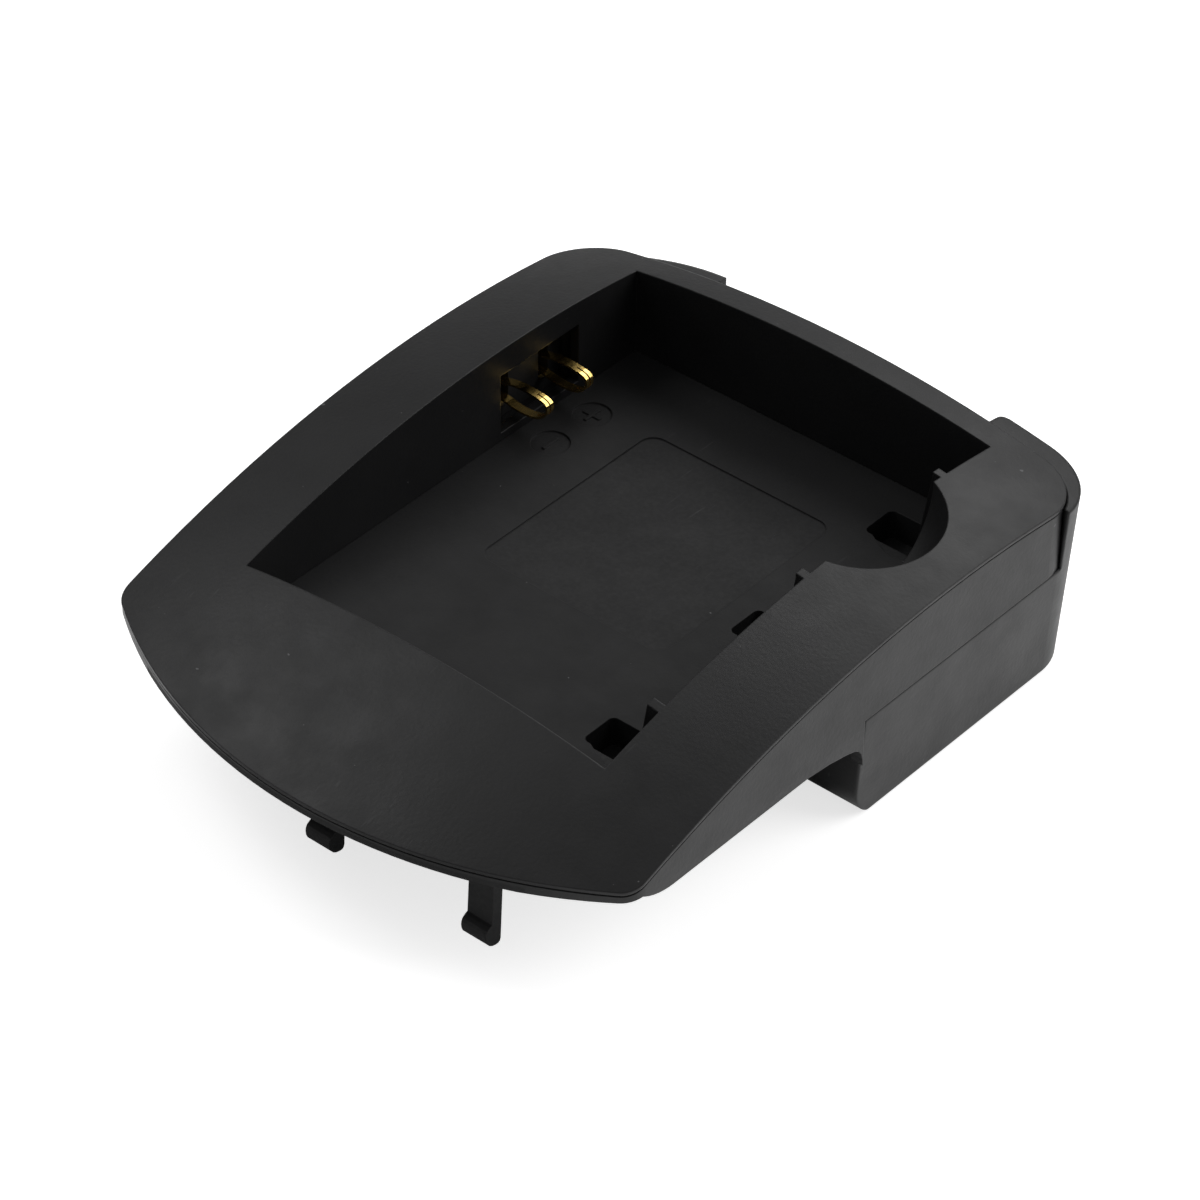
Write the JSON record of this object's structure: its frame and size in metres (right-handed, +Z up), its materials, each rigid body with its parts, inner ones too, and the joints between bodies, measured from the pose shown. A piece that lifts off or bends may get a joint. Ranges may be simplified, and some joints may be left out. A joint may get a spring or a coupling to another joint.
{
  "type": "battery charging plate",
  "caption": "Low black charging plate with a pocket for a flat battery pack, sprung contacts, a finger scoop and snap hooks under its front edge for a charger base.",
  "frame": {"origin": "centre of the footprint, on the surface the plate rests on", "axes": "+Z up, -Y towards the thin front edge, +X towards the finger scoop"},
  "size_m": [0.0585, 0.0726, 0.0218],
  "materials": {
    "shell_plastic": "fine textured, worn",
    "inner_plastic": "smooth",
    "contact_gilt": "plated",
    "board_green": "lacquered",
    "chip_black": "moulded",
    "sensor_resin": "dipped",
    "core_grey": "sintered",
    "capacitor_can": "satin",
    "capacitor_tan": "sintered",
    "fuse_cream": "sintered",
    "lead_red": "smooth",
    "lead_black": "smooth",
    "solder_grey": "cast",
    "screw_steel": "zinc plated"
  },
  "bodies": {
    "cradle": {"top_shell": "shell_plastic", "battery_tray": "shell_plastic", "lower_housing": "shell_plastic", "contact_rails": "contact_gilt", "terminal_plates": "contact_gilt", "contact_carrier": "inner_plastic", "carrier_cover": "inner_plastic", "terminal_carrier": "inner_plastic", "circuit_board": "board_green", "controller_chip": "chip_black", "power_transistor": "chip_black", "board_diodes": "chip_black", "chip_resistors": "chip_black", "temperature_sensor": "sensor_resin", "power_inductor": "core_grey", "bulk_capacitors": "capacitor_can", "chip_capacitors": "capacitor_tan", "board_fuse": "fuse_cream", "wire_positive": "lead_red", "wire_negative": "lead_black", "solder_joints": "solder_grey", "shell_screws": "screw_steel", "housing_screws": "screw_steel", "board_screws": "screw_steel"},
    "positive_contact": {"contact_positive": "contact_gilt"},
    "negative_contact": {"contact_negative": "contact_gilt"}
  },
  "joints": [
    {"name": "contact_positive_press", "type": "slide", "parent": "cradle", "child": "positive_contact", "axis": [-1, 0, 0], "range_m": [0, 0.002], "stiffness_N_per_m": 500, "springref_m": -0.0005},
    {"name": "contact_negative_press", "type": "slide", "parent": "cradle", "child": "negative_contact", "axis": [-1, 0, 0], "range_m": [0, 0.002], "stiffness_N_per_m": 500, "springref_m": -0.0005}
  ]
}
